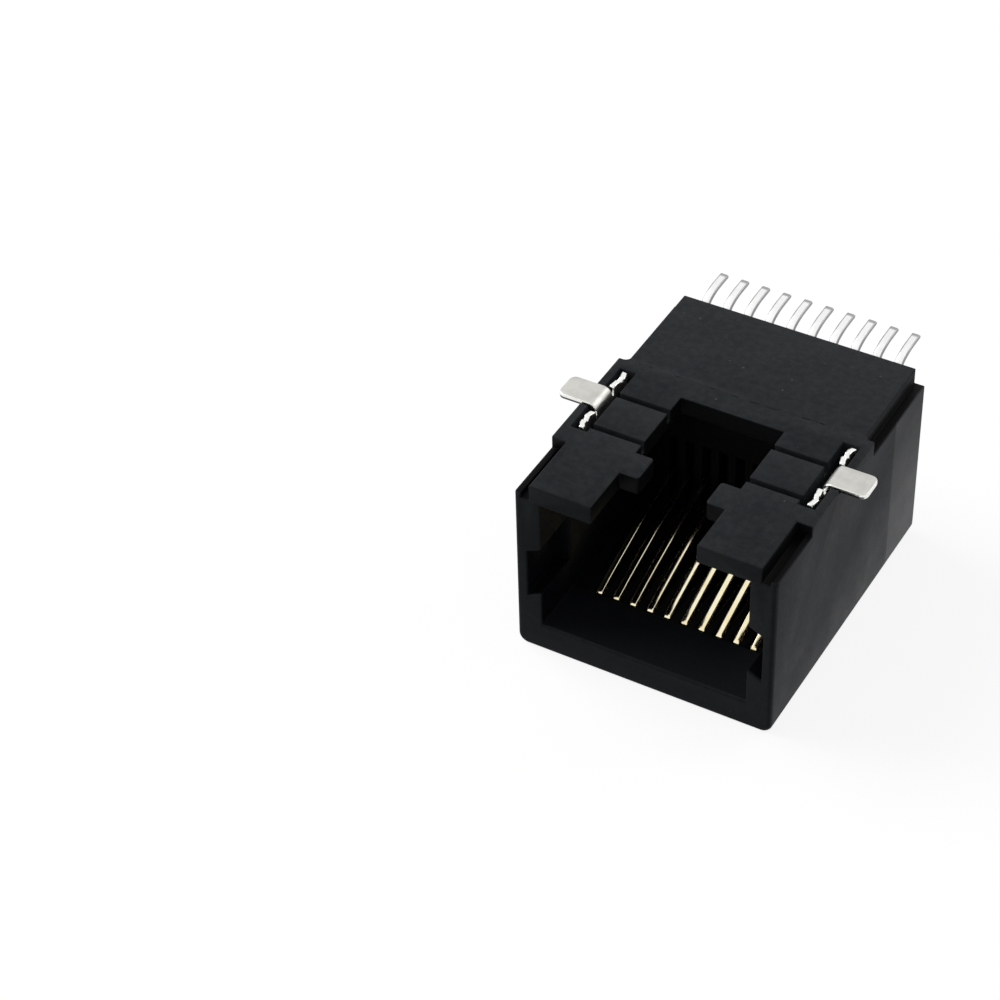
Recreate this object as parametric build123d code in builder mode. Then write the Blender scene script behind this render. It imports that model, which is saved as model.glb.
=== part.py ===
from build123d import *
from math import radians
import os

os.makedirs("parts", exist_ok=True)

# A ten-way modular jack for surface mounting. Lengths are millimetres.
# The origin is the centre of the plain face it rests on, the plug port faces -Y, and the
# solder side, with its latch slot, tabs and tails, is up.

# Moulded body
body_width = 14.85
body_depth = 17.9
deck_height = 11.2
deck_thickness = 1.1
plain_edge_radius = 0.6
port_edge_radius = 0.25
fit_clearance = 0.05
cut_margin = 1

# Plug port
port_width = 11.92
port_floor = 1.78
port_floor_depth = 3.53
port_floor_chamfer = 0.12
key_bottom = 3.56
key_height = 3.1
key_rise = 0.38
key_depth = 0.82
key_length = 3.2

# Bay for the contact carrier, open to the rear and wider than the port
bay_floor = 0.6
bay_side_room = 0.285

# Latch slot between the deck plates
latch_slot_width = 5.96
latch_slot_length = 9.95
catch_front = 3.12
catch_length = 1.78
catch_gap = 3.8
catch_radius = 0.2

# Mid-section of the deck that reaches the full width, and the ledges before and behind it
ear_front = 4.0
ear_rear = 11.4
rear_ledge_width = 0.575
rear_ledge_drop = 0.95
ear_corner_radius = 0.35
front_ledge_width = 0.375
front_ledge_drop = 0.72
front_gutter_width = 0.5
front_gutter_drop = 1.0

# Shallow grooves that bound the two middle plates of the deck
groove_width = 0.35
groove_depth = 0.7
front_groove_place = 5.72
rear_groove_place = 8.6

# Hold-downs
hold_down_place = 8.0
hold_down_thickness = 0.3
hold_down_length = 5.1
hold_down_depth = 4.2
hold_down_inset = 0.845
shoulder_drop = 0.05
shoulder_notch_place = 1.83
shoulder_notch_radius = 0.14
plate_corner_radius = 0.3
relief_width = 0.25
relief_depth = 0.45
tab_width = 1.7
tab_overhang = 1.42
tab_corner_radius = 0.38
tab_bend_radius = 0.4
pocket_place = 7.92
pocket_length = 5.45
pocket_width = 0.95
pocket_wall = 0.475
pocket_depth = 1.1

# Plane of the soldered faces, above the deck
solder_standoff = 0.1

# Contacts
contact_count = 10
beam_pitch = 1.016
tail_pitch = 1.27
contact_thickness = 0.25
beam_width = 0.4
tail_width = 0.5
contact_run_height = 1.05
hairpin_place = 3.67
hairpin_radius = 0.28
beam_angle = 20
beam_length = 9.0
beam_bow = 9
riser_gap = 0.075
riser_bend_radius = 0.4
foot_rise = 0.35
foot_reach = 2.6
foot_flat = 1.3
fan_length = 2.6
fan_setback = 0.6
fan_bend_radius = 0.4
strip_overlap = 0.1

# Contact carrier
carrier_front = 12.2
comb_height = 1.6
comb_slot_depth = 1.5
comb_slot_height = 6.2
rib_reach = 0.45
rib_bottom = 1.6
rib_top_drop = 2.0

# Places that follow from the sizes above
port_y = -body_depth / 2
rear_y = body_depth / 2
deck_underside = deck_height - deck_thickness
solder_plane = deck_height + solder_standoff
bay_front = port_y + port_floor_depth
carrier_front_y = port_y + carrier_front
bay_half = (contact_count - 1) / 2 * tail_pitch + tail_width / 2 + bay_side_room
hold_down_y = port_y + hold_down_place
pocket_y = port_y + pocket_place
hold_down_x = body_width / 2 - hold_down_inset
pocket_outer = body_width / 2 - pocket_wall
pocket_inner = pocket_outer - pocket_width
rear_deck_half = body_width / 2 - rear_ledge_width
gutter_outer = body_width / 2 - front_ledge_width
front_deck_half = gutter_outer - front_gutter_width
port_plane = Plane.XZ.offset(body_depth / 2)
floor_lip = Vector(0, port_y, port_floor)
sides = ((-1, "left"), (1, "right"))


def row_place(index, pitch):
    """Place across the jack of one contact in a row that is centred on it."""
    return (index - (contact_count - 1) / 2) * pitch


def block(x_low, x_high, y_low, y_high, z_low, z_high, mode=Mode.ADD):
    """Straight-sided block between two corners, added to or cut from the open part."""
    with Locations(((x_low + x_high) / 2, (y_low + y_high) / 2, (z_low + z_high) / 2)):
        Box(abs(x_high - x_low), abs(y_high - y_low), abs(z_high - z_low), mode=mode)


# Housing: one moulding, a rectangular tube with a split deck
with BuildPart() as housing:
    with BuildSketch(port_plane):
        with Locations((0, deck_height / 2)):
            Rectangle(body_width, deck_height)
        fillet(vertices().group_by(Axis.Y)[0], radius=plain_edge_radius)
    extrude(amount=-body_depth)
    front_outline = faces().sort_by(Axis.Y)[0].edges()
    fillet(front_outline.sort_by(Axis.Z)[:-1], radius=port_edge_radius)

    # Plug port, with the two key notches in its side walls, whose ends fall away outwards
    with BuildSketch(port_plane):
        with Locations((0, (port_floor + deck_underside) / 2)):
            Rectangle(port_width, deck_underside - port_floor)
    extrude(amount=-body_depth, mode=Mode.SUBTRACT)
    floor_edge = edges().filter_by(Axis.X).sort_by(lambda edge: (edge.center() - floor_lip).length)[0]
    chamfer(floor_edge, length=port_floor_chamfer)
    with BuildSketch(port_plane):
        inner = port_width / 2
        outer = inner + key_depth
        key_top = key_bottom + key_height
        Polygon((outer, key_bottom), (outer, key_top), (inner, key_top + key_rise),
                (-inner, key_top + key_rise), (-outer, key_top), (-outer, key_bottom),
                (-inner, key_bottom + key_rise), (inner, key_bottom + key_rise), align=None)
    extrude(amount=-key_length, mode=Mode.SUBTRACT)

    # Carrier bay: a well behind the port's floor, and a wider mouth that ends in a shoulder
    block(-port_width / 2, port_width / 2, bay_front, rear_y, bay_floor, deck_underside, Mode.SUBTRACT)
    block(-bay_half, bay_half, carrier_front_y, rear_y, bay_floor, deck_underside, Mode.SUBTRACT)

    # Latch slot, open to the front, and the two catches that the plug's latch hooks behind
    block(-latch_slot_width / 2, latch_slot_width / 2, port_y, port_y + latch_slot_length,
          deck_underside, deck_height, Mode.SUBTRACT)
    for side, name in sides:
        with BuildSketch(Plane.XY.offset(deck_underside)):
            catch_width = (latch_slot_width - catch_gap) / 2
            with Locations((side * (latch_slot_width - catch_width) / 2, port_y + catch_front + catch_length / 2)):
                Rectangle(catch_width, catch_length)
            fillet(vertices().sort_by(lambda corner: abs(corner.X))[:2], radius=catch_radius)
        extrude(amount=deck_thickness)

    above = deck_height + cut_margin
    outside = body_width / 2 + cut_margin
    for side, name in sides:
        # Ledge beside the rear deck, with a rounded corner where the deck meets the ear
        with BuildSketch(Plane.XY.offset(deck_height - rear_ledge_drop)):
            with Locations((side * (rear_deck_half + outside) / 2, (port_y + ear_rear + rear_y + cut_margin) / 2)):
                Rectangle(outside - rear_deck_half, rear_y + cut_margin - port_y - ear_rear)
            corners = vertices().group_by(Axis.Y)[0]
            fillet(corners.sort_by(lambda corner: abs(corner.X))[0], radius=ear_corner_radius)
        extrude(amount=rear_ledge_drop + cut_margin, mode=Mode.SUBTRACT)
        # Gutter and lower ledge beside the front deck
        block(side * front_deck_half, side * gutter_outer, port_y - cut_margin, port_y + ear_front,
              deck_height - front_gutter_drop, above, Mode.SUBTRACT)
        block(side * gutter_outer, side * outside, port_y - cut_margin, port_y + ear_front,
              deck_height - front_ledge_drop, above, Mode.SUBTRACT)
        # Grooves that bound the middle plate
        for place in (front_groove_place, rear_groove_place):
            block(side * latch_slot_width / 2, side * pocket_inner, port_y + place - groove_width / 2,
                  port_y + place + groove_width / 2, deck_height - groove_depth, above, Mode.SUBTRACT)
        # Pocket and slot for the hold-down, and the dip that its tab crosses
        block(side * pocket_inner, side * pocket_outer, pocket_y - pocket_length / 2,
              pocket_y + pocket_length / 2, deck_height - pocket_depth, above, Mode.SUBTRACT)
        slot_half = hold_down_thickness / 2 + fit_clearance
        block(side * (hold_down_x - slot_half), side * (hold_down_x + slot_half),
              hold_down_y - hold_down_length / 2 - fit_clearance, hold_down_y + hold_down_length / 2 + fit_clearance,
              deck_height - hold_down_depth - fit_clearance, deck_height, Mode.SUBTRACT)
        block(side * pocket_outer, side * outside, hold_down_y - tab_width / 2 - fit_clearance,
              hold_down_y + tab_width / 2 + fit_clearance, solder_plane - hold_down_thickness - fit_clearance,
              above, Mode.SUBTRACT)
housing.part.label = "housing"
export_step(housing.part, "parts/housing.step")

# Hold-downs: a plate pressed into its slot, with a tab bent outwards on to the board's plane
for side, name in sides:
    with BuildPart() as hold_down:
        plate_x = side * hold_down_x
        shoulder_height = deck_height - shoulder_drop
        with BuildSketch(Plane.YZ.offset(plate_x)):
            with Locations((hold_down_y, (deck_height - hold_down_depth + shoulder_height) / 2)):
                Rectangle(hold_down_length, shoulder_height - deck_height + hold_down_depth)
            fillet(vertices(), radius=plate_corner_radius)
            for end in (-1, 1):
                with Locations((hold_down_y + end * (tab_width + relief_width) / 2, shoulder_height)):
                    Rectangle(relief_width, 2 * relief_depth, mode=Mode.SUBTRACT)
                with Locations((hold_down_y + end * shoulder_notch_place, shoulder_height)):
                    Circle(shoulder_notch_radius, mode=Mode.SUBTRACT)
        extrude(amount=hold_down_thickness / 2, both=True)
        tab_height = solder_plane - hold_down_thickness / 2
        with BuildSketch(Plane.XZ.offset(-hold_down_y)):
            with BuildLine():
                FilletPolyline((plate_x, shoulder_height - relief_depth), (plate_x, tab_height),
                               (side * (body_width / 2 + tab_overhang), tab_height), radius=tab_bend_radius)
            trace(line_width=hold_down_thickness)
        extrude(amount=tab_width / 2, both=True)
        tip_edges = edges().filter_by(Axis.Z).group_by(Axis.X)[-1 if side > 0 else 0]
        fillet(tip_edges, radius=tab_corner_radius)
    hold_down.part.label = f"hold_down_{name}"
    export_step(hold_down.part, f"parts/hold_down_{name}.step")

# Contacts: foot, riser, run under the carrier, hairpin and spring beam, all of one strip
riser_y = rear_y + riser_gap + contact_thickness / 2
riser_root_y = riser_y - riser_bend_radius - strip_overlap
foot_height = solder_plane - contact_thickness / 2
hairpin_y = port_y + hairpin_place + contact_thickness / 2 + hairpin_radius
fan_rear = rear_y - fan_setback
fan_front = fan_rear - fan_length


def run_line(index):
    """Plan of the flat run, which gathers the tail pitch in to the beam pitch."""
    tail_x = row_place(index, tail_pitch)
    beam_x = row_place(index, beam_pitch)
    with BuildLine() as run:
        FilletPolyline((tail_x, riser_y - riser_bend_radius), (tail_x, fan_rear), (beam_x, fan_front),
                       (beam_x, hairpin_y), radius=fan_bend_radius)
    return run.line


for index in range(contact_count):
    tail_x = row_place(index, tail_pitch)
    beam_x = row_place(index, beam_pitch)
    with BuildPart() as contact:
        with BuildSketch(Plane.YZ.offset(tail_x)):
            with BuildLine():
                FilletPolyline((riser_root_y, contact_run_height), (riser_y, contact_run_height),
                               (riser_y, foot_height - foot_rise), (rear_y + foot_reach - foot_flat, foot_height),
                               (rear_y + foot_reach, foot_height), radius=riser_bend_radius)
            trace(line_width=contact_thickness)
        extrude(amount=tail_width / 2, both=True)
        with BuildSketch(Plane.XY.offset(contact_run_height - contact_thickness / 2)):
            trace(run_line(index), line_width=beam_width)
        extrude(amount=contact_thickness)
        with BuildSketch(Plane.YZ.offset(beam_x)):
            with BuildLine():
                run_end = Line((hairpin_y + strip_overlap, contact_run_height), (hairpin_y, contact_run_height))
                bend = JernArc(start=run_end @ 1, tangent=run_end % 1, radius=hairpin_radius,
                               arc_size=-(180 - beam_angle))
                JernArc(start=bend @ 1, tangent=bend % 1, radius=beam_length / radians(beam_bow), arc_size=-beam_bow)
            trace(line_width=contact_thickness)
        extrude(amount=beam_width / 2, both=True)
    contact.part.label = f"contact_{index + 1:02d}"
    export_step(contact.part, f"parts/contact_{index + 1:02d}.step")

# Contact carrier: the insert that fills the rear of the bay and combs the contacts
with BuildPart() as contact_carrier:
    carrier_half = bay_half - fit_clearance
    comb_half = port_width / 2 - fit_clearance
    carrier_bottom = bay_floor + fit_clearance
    carrier_face = carrier_front_y + fit_clearance
    block(-carrier_half, carrier_half, carrier_face, rear_y, carrier_bottom, deck_underside - fit_clearance)
    block(-comb_half, comb_half, bay_front + fit_clearance, rear_y, carrier_bottom, comb_height)
    for index in range(contact_count + 1):
        rib_x = row_place(index - 0.5, tail_pitch)
        rib_half = (tail_pitch - tail_width) / 2 - fit_clearance
        rib_low = max(rib_x - rib_half, -carrier_half)
        rib_high = min(rib_x + rib_half, carrier_half)
        if rib_high > rib_low:
            block(rib_low, rib_high, rear_y, rear_y + rib_reach, rib_bottom, deck_height - rib_top_drop)
    for index in range(contact_count):
        beam_x = row_place(index, beam_pitch)
        tail_x = row_place(index, tail_pitch)
        slot_half = beam_width / 2 + fit_clearance
        tail_half = tail_width / 2 + fit_clearance
        channel_bottom = contact_run_height - contact_thickness / 2 - fit_clearance / 2
        block(tail_x - tail_half, tail_x + tail_half, riser_root_y - fit_clearance, rear_y,
              channel_bottom, contact_run_height + riser_bend_radius, Mode.SUBTRACT)
        with BuildSketch(Plane.XY.offset(channel_bottom)):
            trace(run_line(index), line_width=beam_width + 2 * fit_clearance)
        extrude(amount=contact_thickness + fit_clearance, mode=Mode.SUBTRACT)
        block(beam_x - slot_half, beam_x + slot_half, bay_front, carrier_face,
              channel_bottom, comb_height, Mode.SUBTRACT)
        block(beam_x - slot_half, beam_x + slot_half, bay_front, carrier_face + comb_slot_depth,
              comb_height, comb_slot_height, Mode.SUBTRACT)
contact_carrier.part.label = "contact_carrier"
export_step(contact_carrier.part, "parts/contact_carrier.step")
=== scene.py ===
"""A ten-way modular jack for surface mounting, lying on its plain face with the solder side up."""
import math

import bmesh
import bpy
from mathutils import Matrix, Vector


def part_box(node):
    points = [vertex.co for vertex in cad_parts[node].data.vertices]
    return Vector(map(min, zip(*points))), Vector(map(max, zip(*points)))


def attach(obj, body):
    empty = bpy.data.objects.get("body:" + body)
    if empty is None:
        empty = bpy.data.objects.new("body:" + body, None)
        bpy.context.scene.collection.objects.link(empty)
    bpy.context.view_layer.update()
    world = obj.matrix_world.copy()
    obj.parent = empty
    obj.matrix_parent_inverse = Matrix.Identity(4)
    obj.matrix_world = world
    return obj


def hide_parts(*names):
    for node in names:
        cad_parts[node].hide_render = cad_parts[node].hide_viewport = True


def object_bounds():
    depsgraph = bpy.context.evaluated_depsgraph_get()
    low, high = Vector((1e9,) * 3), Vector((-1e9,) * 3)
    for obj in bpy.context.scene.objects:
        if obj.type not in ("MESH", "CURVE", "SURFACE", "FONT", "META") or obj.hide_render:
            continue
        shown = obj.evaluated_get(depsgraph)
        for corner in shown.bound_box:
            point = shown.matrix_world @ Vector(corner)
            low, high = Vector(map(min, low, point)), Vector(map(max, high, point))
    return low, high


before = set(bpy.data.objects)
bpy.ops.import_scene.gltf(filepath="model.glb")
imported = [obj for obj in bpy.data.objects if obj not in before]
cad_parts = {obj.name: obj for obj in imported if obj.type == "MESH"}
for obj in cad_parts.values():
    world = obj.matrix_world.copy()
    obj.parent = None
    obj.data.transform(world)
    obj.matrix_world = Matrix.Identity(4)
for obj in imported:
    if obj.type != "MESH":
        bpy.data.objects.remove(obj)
cad_low, cad_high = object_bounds()

MM = 0.001

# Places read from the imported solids
housing_low, housing_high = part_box("housing")
port_y = housing_low.y
rear_y = housing_high.y
deck_z = housing_high.z
side_x = housing_high.x

# Contact row
contact_count = 10
beam_pitch = 1.016 * MM
tail_pitch = 1.27 * MM
strip_thickness = 0.25 * MM
beam_width = 0.4 * MM
tail_width = 0.5 * MM
strip_edge_radius = 0.085 * MM
run_height = 1.05 * MM
hairpin_radius = 0.28 * MM
beam_angle = math.radians(20)
beam_bow = math.radians(9)
beam_length = 9.0 * MM
riser_gap = 0.075 * MM
strip_roll = math.radians(1.6)
strip_bend_radius = 0.4 * MM
foot_bend_radius = 3.0 * MM
riser_bend_radius = 0.75 * MM
foot_rise = 0.35 * MM
foot_flat = 1.3 * MM
fan_length = 2.6 * MM
fan_setback = 0.6 * MM
fan_bend_radius = 0.4 * MM

# Hold-downs
sheet_thickness = 0.3 * MM
sheet_edge_radius = 0.06 * MM
plate_corner_radius = 0.3 * MM
shoulder_drop = 0.05 * MM
shoulder_corner_radius = 0.12 * MM
shoulder_notch_place = 1.83 * MM
shoulder_notch_radius = 0.15 * MM
relief_width = 0.25 * MM
relief_depth = 0.45 * MM
relief_corner_radius = relief_width / 2.2
tab_width = 1.7 * MM
tab_corner_radius = 0.38 * MM
tab_bend_radius = 0.4 * MM

# Beading of the hold-downs' shoulders, with its waves in radians a millimetre
shoulder_wave = 0.055 * MM
slow_wave = 4.1
quick_wave = 9.7
quick_share = 0.5
ripple_along = 17
ripple_up = 11
ripple_share = 0.45
side_shift = 0.8

# Painted shade along the lower rims of the tabs' edges: where it starts, and where it is full
rim_shade_height = 0.12 * MM
rim_shade_height_full = 0.16 * MM
rim_shade_reach = 0.3 * MM
rim_shade_margin = 0.15 * MM
rim_shade_margin_full = 0.05 * MM

# Rounding that the moulds leave on every edge
housing_edge = 0.06 * MM
carrier_edge = 0.04 * MM
rounded_above = math.radians(40)

# Deck, ledges, port and marks of the housing; places are behind the port face
deck_under = deck_z - 1.1 * MM
slot_half = 2.98 * MM
port_floor = 1.78 * MM
rear_ledge_width = 0.575 * MM
rear_ledge_drop = 0.95 * MM
ear_front = 4.0 * MM
ear_rear = 11.4 * MM
front_ledge_width = 0.375 * MM
front_gutter_width = 0.5 * MM
front_gutter_drop = 1.0 * MM
witness_place = 11.4 * MM
sink_place = 14.1 * MM

# Borders of the marks and of the painted shade on the housing
witness_half = 0.07 * MM
witness_core = 0.03 * MM
witness_waver = 0.5 * MM
witness_jitter = 0.12 * MM
sink_border = 0.25 * MM
outer_skin = 0.1 * MM
outer_skin_full = 0.05 * MM
ledge_shade = 0.15 * rear_ledge_drop
ledge_shade_full = 0.55 * rear_ledge_drop
polish_and_shade_front = 0.2 * MM
polish_and_shade_rear = 0.5 * MM
polish_and_shade_border = 0.15 * MM
polish_and_shade_base = 0.4 * MM
polish_and_shade_wall = 0.4 * MM
polish_and_shade_wall_full = 0.5 * MM
floor_border = 0.1 * MM

# Plating of the contacts: where gold gives way to tin behind the housing, and the cut tips of the tails
plating_front = 0.1 * MM
plating_rear = 0.05 * MM
plating_waver = 0.5 * MM
tip_start = 0.32 * MM
tip_full = 0.14 * MM
tip_waver = 0.08 * MM

# Depth of each finish's grain, and how far rolling has stretched it
housing_grain = 0.008 * MM
carrier_grain = 0.005 * MM
plating_grain = 0.0006 * MM
tin_grain = 0.004 * MM
rolling_stretch = (1.0, 0.2, 1.0)

# Tones of the plastics, and of the shade painted on the housing's front face, in its port and in its
# recesses
charcoal = (0.0130, 0.0150, 0.0172)
pale_charcoal = (0.0245, 0.0270, 0.0295)
dust_grey = (0.09, 0.095, 0.10)
line_black = (0.002, 0.002, 0.003)
front_shade_black = (0.0040, 0.0045, 0.0062)
port_shade_black = (0.0030, 0.0034, 0.0047)
port_floor_shade = (0.0074, 0.0085, 0.0104)
recess_shade_black = (0.0022, 0.0025, 0.0030)
insert_black = (0.0026, 0.0028, 0.0036)
pale_insert_black = (0.0048, 0.0052, 0.0064)

# Tones of the metals, with a painted highlight and painted shade on some edges
pale_gold = (0.95, 0.88, 0.63)
full_gold = (0.90, 0.78, 0.49)
sheared_gold = (0.45, 0.24, 0.09)
bright_tin = (0.98, 0.98, 0.975)
soft_tin = (0.92, 0.92, 0.915)
stained_tin = (0.55, 0.55, 0.55)
cut_and_shaded_tin = (0.27, 0.27, 0.28)
rolled_tin = (0.60, 0.595, 0.56)
dull_tin = (0.51, 0.505, 0.475)
rim_highlight_tin = (0.86, 0.86, 0.835)
rim_shade_tin = (0.035, 0.035, 0.035)

# Meshes: what is merged, what counts as level, flat or sharp, and how finely the shapes are divided
merged_within = 0.0005 * MM
cut_within = 1e-8
level_within = 1e-9
flat_below = math.radians(0.5)
sharp_above = math.radians(60)
corner_steps = 5
route_steps = 8
edge_steps = 4
rim_steps = 3
rim_full = 0.7 * sheet_edge_radius
bend_rows = 10
first_bend_row = 0.01
shoulder_rows = 12
relief_rows = 5
half_columns = 12

# Camera, measured from the photograph
camera_azimuth = 31.185
camera_elevation = 41.204
camera_roll = -2.026
camera_distance = 153.64 * MM
camera_aim = Vector((-10.166, -5.770, 6.324)) * MM
camera_sensor = 36.0
camera_lens = 104.607
camera_near = 0.01
camera_far = 20.0

# Table and light; a strength of 1 is white
white = (1.0, 1.0, 1.0, 1)
table_reach = 0.4
table_bounce = (0.3, 0.3, 0.3, 1)
table_shade = (0.17, 0.17, 0.17, 1)
table_glow = 0.865
sky_light = 0.39
sky_seen = 0.61
key_direction = (-0.80, 0.0, 0.62)
key_size = 0.7
key_brightness = 5.0
rear_direction = (0.45, 0.62, 0.64)
rear_size = 0.5
rear_brightness = 1.5
lamp_distance = 1.0


class Signal:
    """One output of a tree's nodes; arithmetic on it adds Math nodes."""

    def __init__(self, nodes, socket):
        self.nodes = nodes
        self.socket = socket

    def maths(self, operation, *values):
        """Adds one Math node."""
        return self.nodes.add("ShaderNodeMath", {"operation": operation}, dict(enumerate(values)))

    def __add__(self, other):
        return self.maths("ADD", self, other)

    def __radd__(self, other):
        return self.maths("ADD", other, self)

    def __sub__(self, other):
        return self.maths("SUBTRACT", self, other)

    def __rsub__(self, other):
        return self.maths("SUBTRACT", other, self)

    def __mul__(self, other):
        return self.maths("MULTIPLY", self, other)

    def __rmul__(self, other):
        return self.maths("MULTIPLY", other, self)

    def __truediv__(self, other):
        return self.maths("DIVIDE", self, other)

    def __rtruediv__(self, other):
        return self.maths("DIVIDE", other, self)

    def __abs__(self):
        return self.maths("ABSOLUTE", self)


class Nodes:
    """A node tree under construction."""

    def __init__(self, tree):
        self.tree = tree

    def add(self, kind, settings=None, sockets=None, output=0):
        """Adds a node: its settings first, then the values or links of its sockets."""
        node = self.tree.nodes.new(kind)
        for name, value in (settings or {}).items():
            setattr(node, name, value)
        for name, value in (sockets or {}).items():
            if isinstance(value, Signal):
                self.tree.links.new(value.socket, node.inputs[name])
            else:
                node.inputs[name].default_value = value
        return Signal(self, node.outputs[output]) if node.outputs else None

    def parts(self, vector):
        """The three coordinates of a vector."""
        split = self.add("ShaderNodeSeparateXYZ", None, {"Vector": vector})
        return [Signal(self, output) for output in split.socket.node.outputs]

    def step(self, signal, low, high):
        """Smooth change from 0 to 1 as the signal passes from low to high."""
        sockets = {"Value": signal, "From Min": low, "From Max": high}
        return self.add("ShaderNodeMapRange", {"interpolation_type": "SMOOTHSTEP"}, sockets)

    def between(self, signal, low, high, soft):
        """1 where the signal lies between two values, with soft borders outside them."""
        return self.step(signal, low - soft, low) * self.step(signal, high + soft, high)

    def largest(self, first, *others):
        """The largest of several signals."""
        for other in others:
            first = first.maths("MAXIMUM", first, other)
        return first


class Finish(Nodes):
    """A material under construction."""

    def __init__(self, name):
        self.material = bpy.data.materials.new(name)
        self.material.use_nodes = True
        super().__init__(self.material.node_tree)
        self.tree.nodes.clear()

    def place(self):
        """Position on the piece, in metres of the shared frame."""
        return self.add("ShaderNodeTexCoord", output="Object")

    def attribute(self, name):
        """A value that the mesh carries."""
        return self.add("ShaderNodeAttribute", {"attribute_name": name}, None, "Fac")

    def noise(self, vector, scale, detail=2.0, roughness=0.5):
        """Cloudy noise between 0 and 1, with its scale in waves a metre."""
        sockets = {"Vector": vector, "Scale": scale, "Detail": detail, "Roughness": roughness}
        return self.add("ShaderNodeTexNoise", {"noise_dimensions": "3D"}, sockets, "Fac")

    def blend(self, factor, first, second):
        """Mix of two colours."""
        colours = [value if isinstance(value, Signal) else (*value, 1) for value in (first, second)]
        settings = {"data_type": "RGBA", "clamp_factor": True}
        return self.add("ShaderNodeMix", settings, {0: factor, 6: colours[0], 7: colours[1]}, 2)

    def bump(self, height, depth):
        """Relief of a given depth."""
        return self.add("ShaderNodeBump", None, {"Strength": 1.0, "Distance": depth, "Height": height})

    def surface(self, **sockets):
        """Ends the material in one Principled shader."""
        named = {name.replace("_", " ").replace("Ior", "IOR"): value for name, value in sockets.items()}
        shader = self.add("ShaderNodeBsdfPrincipled", None, named)
        self.add("ShaderNodeOutputMaterial", None, {"Surface": shader})
        return self.material


def witness_line(f, place, clouds, mottle, broad):
    """Broken, wavering line across the deck where two parts of the mould met."""
    _, y, z = f.parts(place)
    dashes = f.step(f.noise(place, 1500, detail=3), 0.44, 0.60) * f.step(mottle, 0.38, 0.56)
    on_deck = f.step(z, deck_z - outer_skin, deck_z - outer_skin_full)
    waver = witness_waver * (broad - 0.5) + witness_jitter * (clouds - 0.5)
    line = f.step(abs(y - (port_y + witness_place) - waver), witness_half, witness_core)
    return line * dashes * on_deck


def port_masks(f, place):
    """1 inside the polished port, where shade is painted, and 1 on its floor, where the painted shade is
    lighter.
    """
    x, y, z = f.parts(place)
    in_port = (f.between(y, port_y + polish_and_shade_front, rear_y - polish_and_shade_rear, polish_and_shade_border)
               * f.between(z, polish_and_shade_base, deck_under, housing_edge)
               * f.step(abs(x), side_x - polish_and_shade_wall, side_x - polish_and_shade_wall_full))
    return in_port, in_port * f.step(z, port_floor + floor_border, port_floor)


def painted_recess_shade(f, place):
    """1 on the walls of the latch slot, on the rear ledges and in the front gutters, where shade is painted
    dark.
    """
    x, y, z = f.parts(place)
    hair = housing_edge
    in_slot = (f.step(abs(x), slot_half + hair, slot_half + hair / 2)
               * f.step(y, port_y + hair, port_y + 2 * hair)
               * f.between(z, deck_under, deck_z - hair, hair / 2))
    ledge_z = deck_z - rear_ledge_drop
    on_rear_ledge = (f.step(y, port_y + ear_rear, port_y + ear_rear + hair)
                     * f.between(abs(x), side_x - rear_ledge_width, side_x - hair, hair)
                     * f.step(z, deck_z - ledge_shade, deck_z - ledge_shade_full)
                     * f.step(z, ledge_z - 2 * hair, ledge_z - hair))
    gutter_x = side_x - front_ledge_width - front_gutter_width
    on_front_ledge = (f.between(y, port_y + 2 * hair, port_y + ear_front, hair)
                      * f.between(abs(x), gutter_x, side_x - hair, hair)
                      * f.between(z, deck_z - front_gutter_drop, deck_z - 2 * hair, hair))
    return f.largest(in_slot, on_rear_ledge, on_front_ledge)


def moulded_housing():
    """Black moulded plastic: spark-eroded outside, polished in the port, with faint marks of the mould;
    painted shade on the front face, in the port and in the recesses.
    """
    f = Finish("moulded_housing")
    place = f.place()
    x, y, _ = f.parts(place)
    grain = f.noise(place, 8500, detail=3, roughness=0.65)
    mottle = f.noise(place, 2400, detail=4, roughness=0.65)
    clouds = f.noise(place, 520, detail=4, roughness=0.6)
    broad = f.noise(place, 130, detail=2)
    dust = f.add("ShaderNodeTexVoronoi", None, {"Vector": place, "Scale": 1300.0}, "Distance")
    specks = f.step(dust, 0.10, 0.05) * f.step(f.noise(place, 900), 0.52, 0.62)
    witness = witness_line(f, place, clouds, mottle, broad)
    on_side = f.step(abs(x), side_x - outer_skin, side_x - outer_skin_full)
    sink = f.step(y, port_y + sink_place, port_y + sink_place + sink_border) * on_side
    front_shade_mask = f.step(y, port_y + 2 * housing_edge, port_y + housing_edge)
    in_port, on_floor = port_masks(f, place)
    patches = f.step(clouds, 0.34, 0.70) * 0.5 + f.step(mottle, 0.36, 0.64) * 0.5
    tone = f.blend(patches, charcoal, pale_charcoal)
    tone = f.blend(specks * 0.6, tone, dust_grey)
    tone = f.blend(witness * 0.85, tone, line_black)
    # Painted shade: the front face is darkened.
    tone = f.blend(front_shade_mask * 0.45, tone, front_shade_black)
    # Painted shade: darker inside the port, a little lighter on its floor.
    tone = f.blend(in_port, tone, port_shade_black)
    tone = f.blend(on_floor, tone, port_floor_shade)
    # Painted shade in the latch slot, on the rear ledges and in the front gutters.
    tone = f.blend(painted_recess_shade(f, place), tone, recess_shade_black)
    rough = 0.52 + (clouds - 0.5) * 0.34 + (broad - 0.5) * 0.1 + specks * 0.2 - in_port * 0.08
    height = grain * 0.7 + mottle * 0.6 + clouds * 0.5 - witness * 2.5 + specks * 0.8
    gloss = on_side * 0.085 + sink * 0.2
    return f.surface(Base_Color=tone, Roughness=rough, Specular_Ior_Level=0.05, Coat_Weight=gloss,
                     Coat_Roughness=0.4, Normal=f.bump(height, housing_grain))


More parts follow.
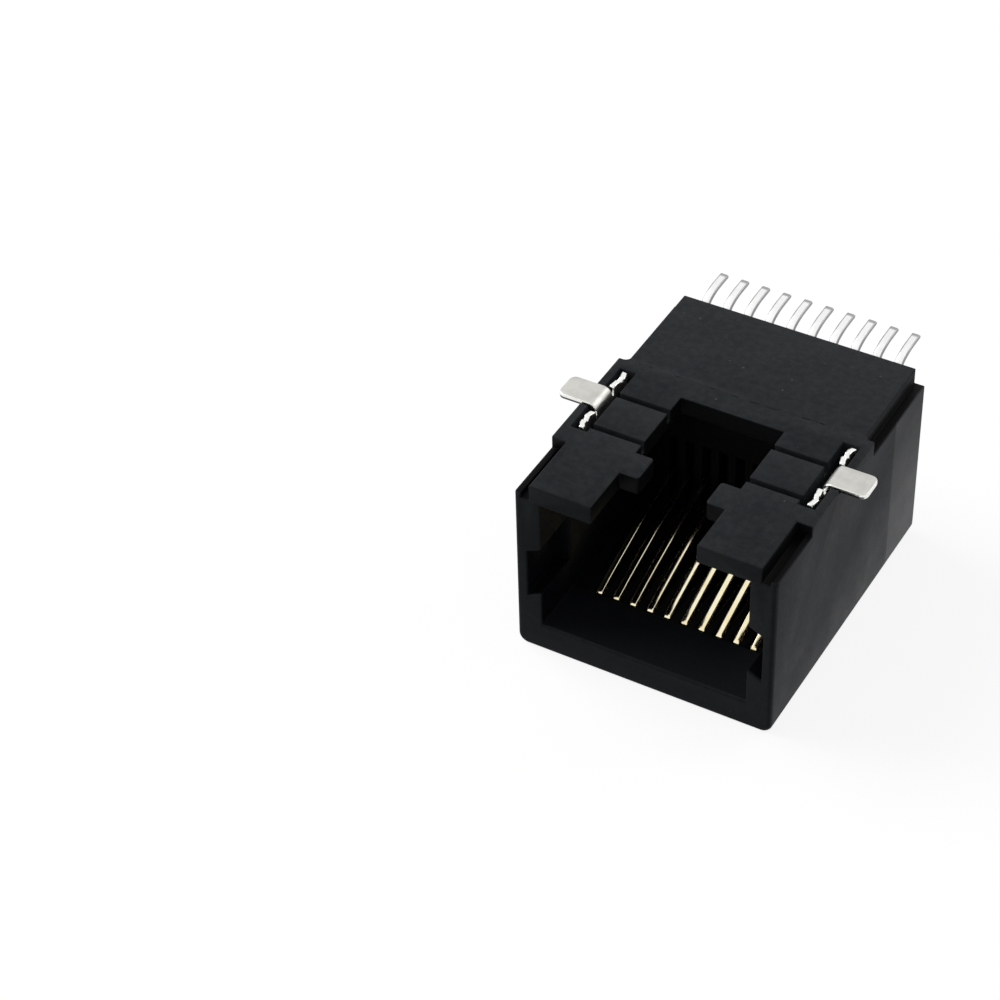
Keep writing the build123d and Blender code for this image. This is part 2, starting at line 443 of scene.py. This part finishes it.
def moulded_carrier():
    """Darker, slightly smoother plastic of the insert."""
    f = Finish("moulded_carrier")
    place = f.place()
    grain = f.noise(place, 9500, detail=3, roughness=0.6)
    clouds = f.noise(place, 700, detail=3, roughness=0.6)
    tone = f.blend(f.step(clouds, 0.36, 0.70), insert_black, pale_insert_black)
    rough = 0.48 + (clouds - 0.5) * 0.2
    return f.surface(Base_Color=tone, Roughness=rough, Specular_Ior_Level=0.04,
                     Normal=f.bump(grain * 0.7 + clouds * 0.4, carrier_grain))


def contact_plating():
    """Pale gold on the spring beams, bright tin on the risers and tails, duller sheared edges on the gold,
    painted shade along the tin's edges, and darker cut tips.
    """
    f = Finish("contact_plating")
    place = f.place()
    y = f.parts(place)[1]
    across = f.attribute("across")
    clouds = f.noise(place, 1100, detail=3)
    fine = f.noise(place, 7000, detail=2)
    stains = f.step(f.noise(place, 2300, detail=4, roughness=0.7), 0.56, 0.68)
    tinned = f.step(y + (clouds - 0.5) * plating_waver, rear_y - plating_front, rear_y + plating_rear)
    tip = f.step(y + (fine - 0.5) * tip_waver, cad_high.y - tip_start, cad_high.y - tip_full)
    gold = f.blend(f.step(clouds, 0.35, 0.75), pale_gold, full_gold)
    gold = f.blend(f.step(across, 0.90, 0.99) * 0.8, gold, sheared_gold)
    tin = f.blend(f.step(clouds, 0.3, 0.8), bright_tin, soft_tin)
    tin = f.blend(stains * 0.14, tin, stained_tin)
    # Painted shade: grey along the rounded edges of the tin strips.
    tin = f.blend(f.step(across + (fine - 0.5) * 0.06, 0.52, 0.80), tin, cut_and_shaded_tin)
    tin = f.blend(tip * 0.85, tin, cut_and_shaded_tin)
    rough = 0.09 + clouds * 0.06 + tinned * 0.12
    return f.surface(Base_Color=f.blend(tinned, gold, tin), Metallic=1.0, Roughness=rough,
                     Normal=f.bump(fine, plating_grain))


def satin_tin():
    """Tin on the stamped hold-downs: satin flats, sheared rims with a painted highlight, and painted shade
    low on the tabs' rims.
    """
    f = Finish("satin_tin")
    place = f.place()
    x, y, z = f.parts(place)
    stretched = f.add("ShaderNodeMapping", None, {"Vector": place, "Scale": rolling_stretch})
    rolled = f.noise(stretched, 9000, detail=3)
    clouds = f.noise(place, 1600, detail=3)
    rim = f.attribute("rim")
    low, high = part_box("hold_down_left")
    from_middle = abs(y - (low.y + high.y) / 2)
    painted_rim_shade = (f.step(from_middle, tab_width / 2 - rim_shade_margin, tab_width / 2 - rim_shade_margin_full)
            * f.step(z, high.z - rim_shade_height, high.z - rim_shade_height_full)
            * f.step(abs(x), side_x - rim_shade_reach, side_x) * rim)
    colour = f.blend(f.step(clouds, 0.3, 0.75), rolled_tin, dull_tin)
    # Painted highlight: the rims are brighter; their lower roughness is the real burnish.
    colour = f.blend(rim, colour, rim_highlight_tin)
    # Painted shade along the lower rims of the tabs' edges.
    colour = f.blend(painted_rim_shade * 0.95, colour, rim_shade_tin)
    rough = 0.36 + (clouds - 0.5) * 0.16 + (rolled - 0.5) * 0.12 - rim * 0.14
    return f.surface(Base_Color=colour, Metallic=1.0, Roughness=rough,
                     Normal=f.bump(rolled * 0.5 + clouds, tin_grain))


def plain_mesh(piece):
    """A new mesh with what the piece's modifiers make of it."""
    depsgraph = bpy.context.evaluated_depsgraph_get()
    return bpy.data.meshes.new_from_object(piece.evaluated_get(depsgraph))


def new_piece(name, shape, material):
    """Object with the mesh of a finished bmesh."""
    mesh = bpy.data.meshes.new(name)
    shape.to_mesh(mesh)
    shape.free()
    mesh.materials.append(material)
    mesh.shade_smooth()
    piece = bpy.data.objects.new(name, mesh)
    bpy.context.collection.objects.link(piece)
    return piece


def stands_for(piece, node):
    """The piece rides on the body and takes the place of its solid."""
    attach(piece, "root")
    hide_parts(node)


def moulded_piece(node, name, edge, material):
    """A packed moulding with the small rounding that its mould leaves on every edge."""
    shape = bmesh.new()
    shape.from_mesh(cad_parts[node].data)
    bmesh.ops.remove_doubles(shape, verts=shape.verts, dist=merged_within)
    bmesh.ops.dissolve_limit(shape, angle_limit=flat_below, verts=shape.verts, edges=shape.edges)
    piece = new_piece(name, shape, material)
    rounding = piece.modifiers.new("rounding", "BEVEL")
    rounding.width = edge
    rounding.segments = 2
    rounding.limit_method = "ANGLE"
    rounding.angle_limit = rounded_above
    rounding.use_clamp_overlap = False
    rounding.harden_normals = True
    rounded = plain_mesh(piece)
    piece.modifiers.clear()
    piece.data = rounded
    stands_for(piece, node)


def strip_profile(n, given):
    """Rounded section of the strip, which keeps how far each point lies from its middle."""
    outline = n.add("GeometryNodeCurvePrimitiveQuadrilateral", {"mode": "RECTANGLE"},
                    {"Width": given["Thickness"], "Height": given["Width"]})
    outline = n.add("GeometryNodeFilletCurve", {"mode": "POLY"},
                    {"Curve": outline, "Count": edge_steps, "Radius": given["Edge radius"],
                     "Limit Radius": True})
    outline_y = n.parts(n.add("GeometryNodeInputPosition"))[1]
    across = abs(outline_y) / given["Width"] * 2.0
    return n.add("GeometryNodeStoreNamedAttribute", {"data_type": "FLOAT", "domain": "POINT"},
                 {"Geometry": outline, "Name": "across", "Value": across})


def strip_tree(material):
    """Geometry Nodes that form one contact from its route: a rounded strip, wider at the tail."""
    tree = bpy.data.node_groups.new("formed_strip", "GeometryNodeTree")
    face = tree.interface
    face.new_socket("Route", in_out="INPUT", socket_type="NodeSocketGeometry")
    for name in ("Width", "Thickness", "Edge radius", "Tail width", "Tail centre",
                 "Taper start", "Taper end"):
        face.new_socket(name, in_out="INPUT", socket_type="NodeSocketFloat")
    face.new_socket("Strip", in_out="OUTPUT", socket_type="NodeSocketGeometry")
    n = Nodes(tree)
    route = n.add("NodeGroupInput")
    given = {socket.name: Signal(n, socket) for socket in route.socket.node.outputs}
    bends = n.add("GeometryNodeInputRadius")
    line = n.add("GeometryNodeFilletCurve", {"mode": "POLY"},
                 {"Curve": given["Route"], "Count": route_steps, "Radius": bends, "Limit Radius": True})
    line = n.add("GeometryNodeSetCurveRadius", None, {"Curve": line, "Radius": 1.0})
    level = n.add("ShaderNodeVectorMath", {"operation": "CROSS_PRODUCT"},
                  {0: (1.0, 0.0, -math.tan(strip_roll)), 1: n.add("GeometryNodeInputTangent")})
    line = n.add("GeometryNodeSetCurveNormal", {"mode": "FREE"}, {"Curve": line, "Normal": level})
    strip = n.add("GeometryNodeCurveToMesh", None,
                  {"Curve": line, "Profile Curve": strip_profile(n, given), "Fill Caps": True})
    x, y, _ = n.parts(n.add("GeometryNodeInputPosition"))
    widening = given["Tail width"] / given["Width"] - 1.0
    spread = n.step(y, given["Taper start"], given["Taper end"]) * widening
    shift = n.add("ShaderNodeCombineXYZ", None, {0: (x - given["Tail centre"]) * spread})
    strip = n.add("GeometryNodeSetPosition", None, {"Geometry": strip, "Offset": shift})
    strip = n.add("GeometryNodeSetShadeSmooth", None, {"Geometry": strip})
    strip = n.add("GeometryNodeRealizeInstances", None, {"Geometry": strip})
    strip = n.add("GeometryNodeSetMaterial", None, {"Geometry": strip, "Material": material})
    n.add("NodeGroupOutput", None, {"Strip": strip})
    return tree


def contact_route(index):
    """Corners of one contact from the tip of its tail to the end of its beam, each with its bend radius."""
    tail_x = (index - (contact_count - 1) / 2) * tail_pitch
    beam_x = (index - (contact_count - 1) / 2) * beam_pitch
    low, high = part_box(f"contact_{index + 1:02d}")
    foot_z = high.z - strip_thickness / 2
    riser_y = rear_y + riser_gap + strip_thickness / 2
    fan_rear = rear_y - fan_setback
    hairpin_y = low.y + strip_thickness / 2 + hairpin_radius
    hairpin_z = run_height + hairpin_radius
    corners = [
        ((tail_x, high.y, foot_z), 0),
        ((tail_x, high.y - foot_flat, foot_z), foot_bend_radius),
        ((tail_x, riser_y, foot_z - foot_rise), riser_bend_radius),
        ((tail_x, riser_y, run_height), strip_bend_radius),
        ((tail_x, fan_rear, run_height), fan_bend_radius),
        ((beam_x, fan_rear - fan_length, run_height), fan_bend_radius),
    ]
    # Two corners whose arcs make the hairpin
    turn = math.pi - beam_angle
    reach = hairpin_radius / math.cos(turn / 4)
    for part in (0.25, 0.75):
        angle = -math.pi / 2 - turn * part
        place = (beam_x, hairpin_y + reach * math.cos(angle), hairpin_z + reach * math.sin(angle))
        corners.append((place, hairpin_radius))
    # The beam leaves the hairpin and bows down to its end
    angle = -math.pi / 2 - turn
    leaves_y = hairpin_y + hairpin_radius * math.cos(angle)
    leaves_z = hairpin_z + hairpin_radius * math.sin(angle)
    bow_radius = beam_length / beam_bow
    half = bow_radius * math.tan(beam_bow / 2)
    middle_y = leaves_y + half * math.cos(beam_angle)
    middle_z = leaves_z + half * math.sin(beam_angle)
    corners.append(((beam_x, middle_y, middle_z), bow_radius))
    end_angle = beam_angle - beam_bow
    end = (beam_x, middle_y + half * math.cos(end_angle), middle_z + half * math.sin(end_angle))
    corners.append((end, 0))
    return corners, tail_x


def formed_mesh(name, index, tree):
    """Mesh that the tree makes of one contact's route."""
    corners, tail_x = contact_route(index)
    route = bpy.data.curves.new(name + "_route", "CURVE")
    route.dimensions = "3D"
    line = route.splines.new("POLY")
    line.points.add(len(corners) - 1)
    for point, (place, bend) in zip(line.points, corners):
        point.co = (*place, 1)
        point.radius = bend
    piece = bpy.data.objects.new(name + "_route", route)
    bpy.context.collection.objects.link(piece)
    forming = piece.modifiers.new("forming", "NODES")
    forming.node_group = tree
    sizes = {"Width": beam_width, "Thickness": strip_thickness, "Edge radius": strip_edge_radius,
             "Tail width": tail_width, "Tail centre": tail_x,
             "Taper start": rear_y - fan_setback, "Taper end": rear_y - fan_setback / 2}
    for socket in tree.interface.items_tree:
        if socket.in_out == "INPUT" and socket.name in sizes:
            forming[socket.identifier] = sizes[socket.name]
    mesh = plain_mesh(piece)
    bpy.data.objects.remove(piece)
    mesh.name = name
    return mesh


def spring_contact(index, tree):
    """One contact, formed from a strip."""
    name = f"spring_contact_{index + 1:02d}"
    mesh = formed_mesh(name, index, tree)
    shape = bmesh.new()
    shape.from_mesh(mesh)
    bmesh.ops.remove_doubles(shape, verts=shape.verts, dist=merged_within)
    bmesh.ops.recalc_face_normals(shape, faces=shape.faces)
    shape.to_mesh(mesh)
    shape.free()
    contact = bpy.data.objects.new(name, mesh)
    bpy.context.collection.objects.link(contact)
    stands_for(contact, f"contact_{index + 1:02d}")


def rounded_outline(corners):
    """Points of a closed outline whose corners are rounded with their own radii."""
    points = []
    for index, (corner, radius) in enumerate(corners):
        corner = Vector(corner)
        before = (Vector(corners[index - 1][0]) - corner).normalized()
        after = (Vector(corners[(index + 1) % len(corners)][0]) - corner).normalized()
        half = before.angle(after) / 2
        cut = radius / math.tan(half)
        centre = corner + (before + after).normalized() * (radius / math.sin(half))
        start = corner + before * cut - centre
        end = corner + after * cut - centre
        sweep = start.angle_signed(end)
        for step in range(corner_steps + 1):
            points.append(centre + Matrix.Rotation(-sweep * step / corner_steps, 2) @ start)
    return points


def hold_down_outline(half_length, shoulder, tip):
    """Flat blank of a hold-down, from the foot of its plate to the tip of its tab."""
    half_tab = tab_width / 2
    relief = half_tab + relief_width
    half = [
        ((half_length, 0), plate_corner_radius),
        ((half_length, shoulder), shoulder_corner_radius),
        ((shoulder_notch_place + shoulder_notch_radius, shoulder), shoulder_corner_radius / 2),
        ((shoulder_notch_place, shoulder - shoulder_notch_radius), shoulder_notch_radius / 3),
        ((shoulder_notch_place - shoulder_notch_radius, shoulder), shoulder_corner_radius / 2),
        ((relief, shoulder), shoulder_corner_radius),
        ((relief, shoulder - relief_depth), relief_corner_radius),
        ((half_tab, shoulder - relief_depth), relief_corner_radius),
        ((half_tab, tip), tab_corner_radius),
    ]
    other = [((-y, s), radius) for (y, s), radius in reversed(half)]
    return rounded_outline(half + other)


def divide(shape, places, normal):
    """Divides a flat shape along parallel lines, so that it can be bent there."""
    for place in places:
        parts = shape.verts[:] + shape.edges[:] + shape.faces[:]
        bmesh.ops.bisect_plane(shape, geom=parts, plane_co=Vector(normal) * place, plane_no=normal,
                               dist=cut_within)


def thicken(shape):
    """Gives a flat blank in the YZ plane the sheet's thickness and its rounded rim, and marks that rim."""
    front = shape.faces[:]
    copied = bmesh.ops.duplicate(shape, geom=shape.verts[:] + shape.edges[:] + front)
    twin = copied["vert_map"]
    rim = [edge for face in front for edge in face.edges if edge.is_boundary]
    for vert in {vert for face in front for vert in face.verts}:
        vert.co.x = sheet_thickness / 2
        twin[vert].co.x = -sheet_thickness / 2
    for edge in rim:
        first, second = edge.verts
        shape.faces.new((first, second, twin[second], twin[first]))
    bmesh.ops.recalc_face_normals(shape, faces=shape.faces)
    sharp = [edge for edge in shape.edges if edge.calc_face_angle() > sharp_above
             and abs(edge.verts[0].co.x - edge.verts[1].co.x) < level_within]
    bmesh.ops.bevel(shape, geom=sharp, offset=sheet_edge_radius, segments=rim_steps, profile=0.5,
                    affect="EDGES", clamp_overlap=False)
    rim = shape.verts.layers.float.new("rim")
    for vert in shape.verts:
        inside = sheet_thickness / 2 - abs(vert.co.x)
        vert[rim] = min(1.0, inside / rim_full)


def beading(side, along, height, shoulder):
    """How far the upset sheet stands out: in full one relief cut below its top, and no more three below."""
    near_top = min(1.0, max(0.0, (height - shoulder + 3 * relief_depth) / (2 * relief_depth)))
    wave = math.sin(along / MM * slow_wave + side * side_shift)
    wave += quick_share * math.sin(along / MM * quick_wave)
    ripple = ripple_share * math.sin(along / MM * ripple_along + side) * math.sin(height / MM * ripple_up)
    return shoulder_wave * (wave + ripple) * near_top


def hold_down(side, name, material):
    """Stamped sheet: a plate in its slot, beaded shoulders, and a tab bent out on to the board's plane."""
    node = f"hold_down_{name}"
    low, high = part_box(node)
    inner_x, outer_x = (low.x, high.x) if side > 0 else (-high.x, -low.x)
    plate_x = inner_x + sheet_thickness / 2
    half_length = (high.y - low.y) / 2
    centre_y = (low.y + high.y) / 2
    tab_z = high.z - sheet_thickness / 2
    shoulder = deck_z - shoulder_drop - low.z
    bend_start = tab_z - tab_bend_radius - low.z
    bend_end = bend_start + tab_bend_radius * math.pi / 2
    tip = bend_end + outer_x - plate_x - tab_bend_radius
    shape = bmesh.new()
    outline = hold_down_outline(half_length, shoulder, tip)
    shape.faces.new([shape.verts.new((0, point.x, point.y)) for point in outline])
    bend = bend_end - bend_start
    rows = [bend_start + bend * (step + first_bend_row) / bend_rows for step in range(bend_rows + 1)]
    rows += [shoulder - relief_depth * (step + 0.5) / relief_rows for step in range(shoulder_rows)]
    columns = [half_length * (step + 0.5) / half_columns for step in range(-half_columns, half_columns)]
    divide(shape, rows, (0, 0, 1))
    divide(shape, columns, (0, 1, 0))
    thicken(shape)
    straight = (tab_width + relief_width) / 2
    for vert in shape.verts:
        depth, along, height = vert.co
        if abs(along) > straight:
            depth += beading(side, along, height, shoulder)
        if height <= bend_start or abs(along) > straight:
            x, z = plate_x - depth, low.z + height
        elif height < bend_end:
            angle = (height - bend_start) / tab_bend_radius
            x = plate_x + tab_bend_radius - (tab_bend_radius + depth) * math.cos(angle)
            z = tab_z - tab_bend_radius + (tab_bend_radius + depth) * math.sin(angle)
        else:
            x, z = plate_x + tab_bend_radius + height - bend_end, tab_z + depth
        vert.co = (side * x, centre_y + along, z)
    bmesh.ops.recalc_face_normals(shape, faces=shape.faces)
    stands_for(new_piece(f"board_tab_{name}", shape, material), node)


def softbox(name, direction, size, brightness):
    """A square area lamp that faces the jack, as bright as a white card where brightness is 1."""
    lamp_data = bpy.data.lights.new(name, "AREA")
    lamp_data.size = size
    lamp_data.energy = brightness * math.pi * size * size
    lamp = bpy.data.objects.new(name, lamp_data)
    bpy.context.collection.objects.link(lamp)
    away = Vector(direction).normalized()
    lamp.location = away * lamp_distance
    lamp.rotation_mode = "QUATERNION"
    lamp.rotation_quaternion = away.to_track_quat("Z", "Y")


def seen(nodes):
    """1 for rays of the camera, of gloss and through glass, 0 for the light that falls on the jack."""
    rays = [nodes.add("ShaderNodeLightPath", output=name)
            for name in ("Is Camera Ray", "Is Glossy Ray", "Is Transmission Ray")]
    return nodes.largest(*rays)


def white_table():
    """Matt table that the camera, gloss and metal see white, with the jack's shadow on it."""
    shape = bmesh.new()
    corners = [shape.verts.new((x * table_reach, y * table_reach, cad_low.z))
               for x, y in ((-1, -1), (1, -1), (1, 1), (-1, 1))]
    shape.faces.new(corners)
    f = Finish("white_table")
    matt = f.add("ShaderNodeBsdfDiffuse", None, {"Color": table_bounce})
    shade = f.add("ShaderNodeBsdfDiffuse", None, {"Color": table_shade})
    glow = f.add("ShaderNodeEmission", None, {"Color": white, "Strength": table_glow})
    both = f.add("ShaderNodeAddShader", None, {0: shade, 1: glow})
    f.add("ShaderNodeOutputMaterial", None,
          {"Surface": f.add("ShaderNodeMixShader", None, {0: seen(f), 1: matt, 2: both})})
    new_piece("table_top", shape, f.material)


def plain_light():
    """Pale even surroundings, a soft light high on the left and a gentle one from behind."""
    world = bpy.data.worlds.new("plain_sky")
    bpy.context.scene.world = world
    world.use_nodes = True
    world.node_tree.nodes.clear()
    n = Nodes(world.node_tree)
    sky = n.add("ShaderNodeBackground", None, {"Color": white, "Strength": sky_light + sky_seen * seen(n)})
    n.add("ShaderNodeOutputWorld", None, {"Surface": sky})
    softbox("key_light", key_direction, key_size, key_brightness)
    softbox("rear_light", rear_direction, rear_size, rear_brightness)


def photo_camera():
    """The photograph's viewing angle."""
    camera_data = bpy.data.cameras.new("camera")
    camera = bpy.data.objects.new("camera", camera_data)
    bpy.context.collection.objects.link(camera)
    bpy.context.scene.camera = camera
    camera_data.sensor_width = camera_sensor
    camera_data.lens = camera_lens
    camera_data.clip_start = camera_near
    camera_data.clip_end = camera_far
    angles = (camera_azimuth, camera_elevation, camera_roll)
    azimuth, elevation, roll = (math.radians(angle) for angle in angles)
    back = Vector((math.sin(azimuth) * math.cos(elevation), -math.cos(azimuth) * math.cos(elevation),
                   math.sin(elevation)))
    level_right = Vector((math.cos(azimuth), math.sin(azimuth), 0))
    level_up = back.cross(level_right)
    right = math.cos(roll) * level_right + math.sin(roll) * level_up
    up = math.cos(roll) * level_up - math.sin(roll) * level_right
    turn = Matrix((right, up, back)).transposed().to_4x4()
    camera.matrix_world = Matrix.Translation(camera_aim + back * camera_distance) @ turn


moulded_piece("housing", "housing_shell", housing_edge, moulded_housing())
moulded_piece("contact_carrier", "carrier_insert", carrier_edge, moulded_carrier())
formed_strip = strip_tree(contact_plating())
for index in range(contact_count):
    spring_contact(index, formed_strip)
tin = satin_tin()
for side, name in ((-1, "left"), (1, "right")):
    hold_down(side, name, tin)

white_table()
plain_light()
photo_camera()
bpy.context.scene.view_settings.view_transform = "Standard"
